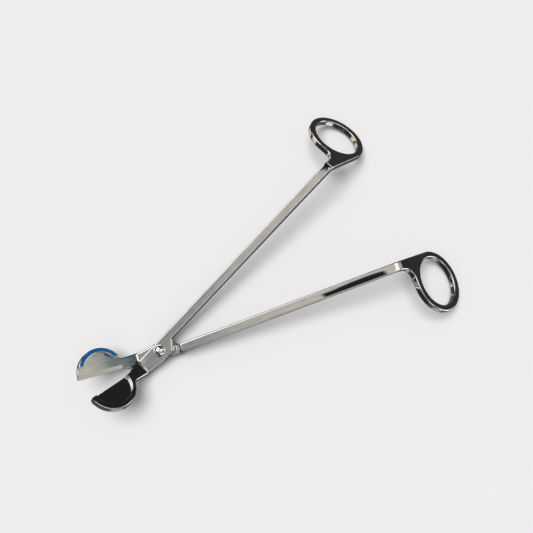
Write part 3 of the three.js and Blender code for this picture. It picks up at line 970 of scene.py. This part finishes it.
# What the polished steel mirrors: the room's brightness by elevation in degrees, and then its cards and lamps.
# Theirs are azimuth from +X, elevation, width, height, softness and lean to the right in degrees, and colour.
ROOM = [
    (-90, (0.14, 0.14, 0.14)), (-60, (0.13, 0.13, 0.13)), (-30, (0.12, 0.12, 0.125)), (-8, (0.05, 0.05, 0.055)),
    (25, (0.02, 0.022, 0.025)), (46, (0.16, 0.165, 0.17)), (59, (0.39, 0.395, 0.4)), (65, (0.45, 0.45, 0.44)),
    (68, (0.62, 0.61, 0.58)), (72, (0.74, 0.72, 0.665)), (82, (0.76, 0.74, 0.68)), (84, (1.5, 1.5, 1.48)),
]
CARDS = {
    "window": (122, 40, 46, 40, 8, 0, (2.6, 2.6, 2.55)),
    "window_top": (118, 60, 14, 9, 2, 0, (2.6, 2.6, 2.55)),
    "slate_wall": (-14, 27, 46, 9, 4, 0, (0.13, 0.17, 0.2)),
    "land_wall": (-31, 33, 20, 19, 4, 0, (0.66, 0.65, 0.57)),
    "pale_wall": (-8, 42, 24, 26, 4, 0, (0.72, 0.71, 0.64)),
    "tall_lamp": (-2, 68, 13, 26, 4, 0, (2.2, 2.2, 2.15)),
    "top_lamp": (58, 71, 12, 6, 2, 0, (2.2, 2.2, 2.15)),
    "low_lamp": (-8, 15, 7, 13, 3, 0, (0.9, 0.89, 0.84)),
    "side_lamp": (34, 33, 9, 8, 3, 0, (1.0, 1.0, 1.0)),
    "front_lamp": (-98, 38, 50, 14, 5, 0, (1.9, 1.9, 1.9)),
    "edge_lamp": (-39, 2, 42, 30, 6, 0, (2.4, 2.38, 2.3)),
    "blue_card": (7, 27, 15, 9, 1.5, 0, (0.016, 0.17, 0.5)),
    "dark_gap": (152, 79.3, 6.0, 6.0, 0.4, 18, (0.02, 0.026, 0.032)),
    "dark_beam": (59, 62.4, 5.2, 40.6, 0.5, -43.4, (0.014, 0.018, 0.026)),
    "low_shade": (200, -9, 44, 20, 6, 0, (0.03, 0.03, 0.035)),
    "floor_glow": (-108, -18, 26, 24, 8, 0, (1.1, 1.15, 1.2)),
    "floor_sheen": (-118, -44, 30, 24, 8, 0, (0.5, 0.52, 0.54)),
    "cream_wall": (146, -10, 22, 12, 6, 0, (1.1, 0.95, 0.7)),
    "cream_floor": (118, -34, 20, 22, 8, 0, (0.85, 0.82, 0.74)),
}


def direction(azimuth, elevation):
    """Toward an azimuth from +X and an elevation, both in degrees."""
    across = math.cos(math.radians(elevation))
    return (
        across * math.cos(math.radians(azimuth)), across * math.sin(math.radians(azimuth)),
        math.sin(math.radians(elevation)),
    )


def dot_with(tree, vector, axis):
    node = tree.nodes.new("ShaderNodeVectorMath")
    node.operation = "DOT_PRODUCT"
    node.inputs[1].default_value = axis
    tree.links.new(vector, node.inputs[0])
    return node.outputs["Value"]


def studio_card(tree, toward, behind, azimuth, elevation, width, height, softness, lean, colour):
    """A soft-edged rectangle of light or shade round the object, in front of what is behind it."""
    ahead = Vector(direction(azimuth, elevation))
    right = Matrix.Rotation(math.radians(lean), 3, ahead) @ Vector(direction(azimuth - 90, 0))
    masks = []
    for axis, extent in ((right, width), (ahead.cross(right), height)):
        aside = add_math(tree, "ABSOLUTE", dot_with(tree, toward, axis))
        full = math.sin(math.radians((extent - softness) / 2))
        end = math.sin(math.radians((extent + softness) / 2))
        masks.append(add_range(tree, aside, full, end, 1, 0))
    facing = add_math(tree, "GREATER_THAN", dot_with(tree, toward, ahead), 0)
    mask = add_math(tree, "MULTIPLY", add_math(tree, "MULTIPLY", *masks), facing)
    return mix_colours(tree, mask, behind, colour)


def mix_shaders(tree, share, first, second):
    node = tree.nodes.new("ShaderNodeMixShader")
    for socket, output in zip(node.inputs, (share, first, second)):
        tree.links.new(output, socket)
    return node.outputs[0]


def studio_world(fill, backdrop_colour):
    """Even light for everything but reflections, lamps and dark walls for those, and a plain backdrop."""
    world = bpy.data.worlds.new("studio")
    bpy.context.scene.world = world
    world.use_nodes = True
    tree = world.node_tree
    tree.nodes.clear()
    toward = tree.nodes.new("ShaderNodeTexCoord").outputs["Generated"]
    split = tree.nodes.new("ShaderNodeSeparateXYZ")
    tree.links.new(toward, split.inputs[0])
    ramp = tree.nodes.new("ShaderNodeValToRGB")
    points = ramp.color_ramp.elements
    while len(points) < len(ROOM):
        points.new(0.5)
    for point, (elevation, shade) in zip(points, ROOM):
        point.position = (elevation + 90) / 180
        point.color = (*shade, 1)
    share = add_math(tree, "DIVIDE", add_math(tree, "ARCSINE", split.outputs["Z"]), math.pi)
    tree.links.new(add_math(tree, "ADD", share, 0.5), ramp.inputs[0])
    shown = ramp.outputs["Color"]
    for card in CARDS.values():
        shown = studio_card(tree, toward, shown, *card)
    even = tree.nodes.new("ShaderNodeBackground")
    even.inputs["Color"].default_value = EVEN_COLOUR
    even.inputs["Strength"].default_value = fill
    backdrop = tree.nodes.new("ShaderNodeBackground")
    backdrop.inputs["Color"].default_value = (*backdrop_colour, 1)
    mirrored = tree.nodes.new("ShaderNodeBackground")
    tree.links.new(shown, mirrored.inputs["Color"])
    ray = tree.nodes.new("ShaderNodeLightPath").outputs
    seen = mix_shaders(tree, ray["Is Camera Ray"], even.outputs[0], backdrop.outputs[0])
    chosen = mix_shaders(tree, ray["Is Glossy Ray"], seen, mirrored.outputs[0])
    output = tree.nodes.new("ShaderNodeOutputWorld")
    tree.links.new(chosen, output.inputs["Surface"])


def key_light(strength):
    """A large soft lamp high on the +Y side. The steel doesn't mirror it: it mirrors the studio."""
    data = bpy.data.lights.new("key", "SUN")
    data.energy = strength
    data.angle = KEY_SPREAD
    lamp = object_of("key", data)
    lamp.rotation_euler = Vector(direction(*KEY_TOWARD)).to_track_quat("Z", "Y").to_euler()
    lamp.visible_glossy = False


def studio_floor(colour):
    half = FLOOR_HALF
    corners = [(-half, -half), (half, -half), (half, half), (-half, half)]
    shape = bmesh.new()
    shape.faces.new([shape.verts.new((x, y, FLOOR_LEVEL)) for x, y in corners])
    floor = from_bmesh("floor", shape)
    floor.data.materials.append(floor_material(colour))
    floor.visible_glossy = False


def studio_camera(lens):
    data = bpy.data.cameras.new("camera")
    data.lens = lens
    data.clip_start = CAMERA_NEAREST
    camera = object_of("camera", data)
    ahead = (CAMERA_TARGET - CAMERA_PLACE).normalized()
    right = ahead.cross(CAMERA_UP).normalized()
    up = right.cross(ahead)
    turn = Matrix((right, up, -ahead)).transposed()
    camera.matrix_world = Matrix.Translation(CAMERA_PLACE) @ turn.to_4x4()
    bpy.context.scene.camera = camera


# The add-on's operators, panel and registration.

class TRIMMER_OT_levers(bpy.types.Operator):
    """Make both folded steel levers, each with its finger ring and its half of the tray"""

    bl_idname = "trimmer.levers"
    bl_label = "Levers"

    def execute(self, context):
        scene = context.scene
        finish = scene.trimmer_finish
        ground = steel_material(
            "ground_land", finish.ground, finish.wear,
            roughness=0.3, lines=1.6, waves=0.4, relief=0.1 * MM,
        )
        for node, body, slot, is_upper in (
            ("upper_lever", "upper_half", "polished_steel_upper", True),
            ("lower_lever", "lower_half", "polished_steel_lower", False),
        ):
            piece = lever_piece(node + "_folded", scene.trimmer_sizes, is_upper)
            polished = steel_material(
                slot, finish.steel, finish.wear,
                roughness=finish.gloss, lines=1.0, waves=1.0, relief=0.15 * MM,
            )
            piece.data.materials.clear()
            piece.data.materials.append(polished)
            piece.data.materials.append(ground)
            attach(piece, body)
            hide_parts(node)
        return {"FINISHED"}


class TRIMMER_OT_rivet(bpy.types.Operator):
    """Make the domed rivet that the levers turn on"""

    bl_idname = "trimmer.rivet"
    bl_label = "Rivet"

    def execute(self, context):
        scene = context.scene
        finish = scene.trimmer_finish
        piece = rivet_piece("pivot_rivet_domed", scene.trimmer_sizes)
        steel = steel_material(
            "rivet_steel", finish.rivet, finish.wear,
            roughness=finish.gloss, lines=0.6, waves=0.4, relief=0.1 * MM,
        )
        piece.data.materials.append(steel)
        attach(piece, "upper_half")
        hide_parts("pivot_rivet")
        return {"FINISHED"}


class TRIMMER_OT_washer(bpy.types.Operator):
    """Make the burr washer under the rivet's tail"""

    bl_idname = "trimmer.washer"
    bl_label = "Washer"

    def execute(self, context):
        scene = context.scene
        finish = scene.trimmer_finish
        piece = washer_piece("burr_washer_stamped", scene.trimmer_sizes)
        steel = steel_material(
            "washer_steel", finish.washer, finish.wear,
            roughness=0.25, lines=1.4, waves=0.6, relief=0.1 * MM,
        )
        piece.data.materials.append(steel)
        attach(piece, "upper_half")
        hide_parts("burr_washer")
        return {"FINISHED"}


class TRIMMER_OT_stage(bpy.types.Operator):
    """Set up the pale floor, the studio light and the camera"""

    bl_idname = "trimmer.stage"
    bl_label = "Stage"

    def execute(self, context):
        stage = context.scene.trimmer_stage
        context.scene.view_settings.view_transform = "Standard"
        studio_world(stage.fill, stage.backdrop)
        key_light(stage.key)
        studio_floor(stage.floor)
        studio_camera(stage.lens)
        return {"FINISHED"}


class TRIMMER_PT_panel(bpy.types.Panel):
    """The trimmer's sizes, finish and stage, with the operators that build it"""

    bl_label = "Wick Trimmer"
    bl_idname = "TRIMMER_PT_panel"
    bl_space_type = "VIEW_3D"
    bl_region_type = "UI"
    bl_category = "Trimmer"

    def draw(self, context):
        for operator in BUILD_ORDER:
            self.layout.operator(operator.bl_idname)
        for name in SETTINGS:
            group = getattr(context.scene, name)
            column = self.layout.column(align=True)
            for label in group.__annotations__:
                column.prop(group, label)


BUILD_ORDER = (TRIMMER_OT_stage, TRIMMER_OT_levers, TRIMMER_OT_rivet, TRIMMER_OT_washer)
SETTINGS = {"trimmer_sizes": TrimmerSizes, "trimmer_finish": TrimmerFinish, "trimmer_stage": TrimmerStage}
CLASSES = (*SETTINGS.values(), *BUILD_ORDER, TRIMMER_PT_panel)


def register():
    for cls in CLASSES:
        bpy.utils.register_class(cls)
    for name, group in SETTINGS.items():
        setattr(bpy.types.Scene, name, PointerProperty(type=group))


def unregister():
    for name in SETTINGS:
        delattr(bpy.types.Scene, name)
    for cls in reversed(CLASSES):
        bpy.utils.unregister_class(cls)


def main():
    register()
    bpy.ops.trimmer.stage()
    bpy.ops.trimmer.levers()
    bpy.ops.trimmer.rivet()
    bpy.ops.trimmer.washer()


if __name__ == "__main__":
    main()
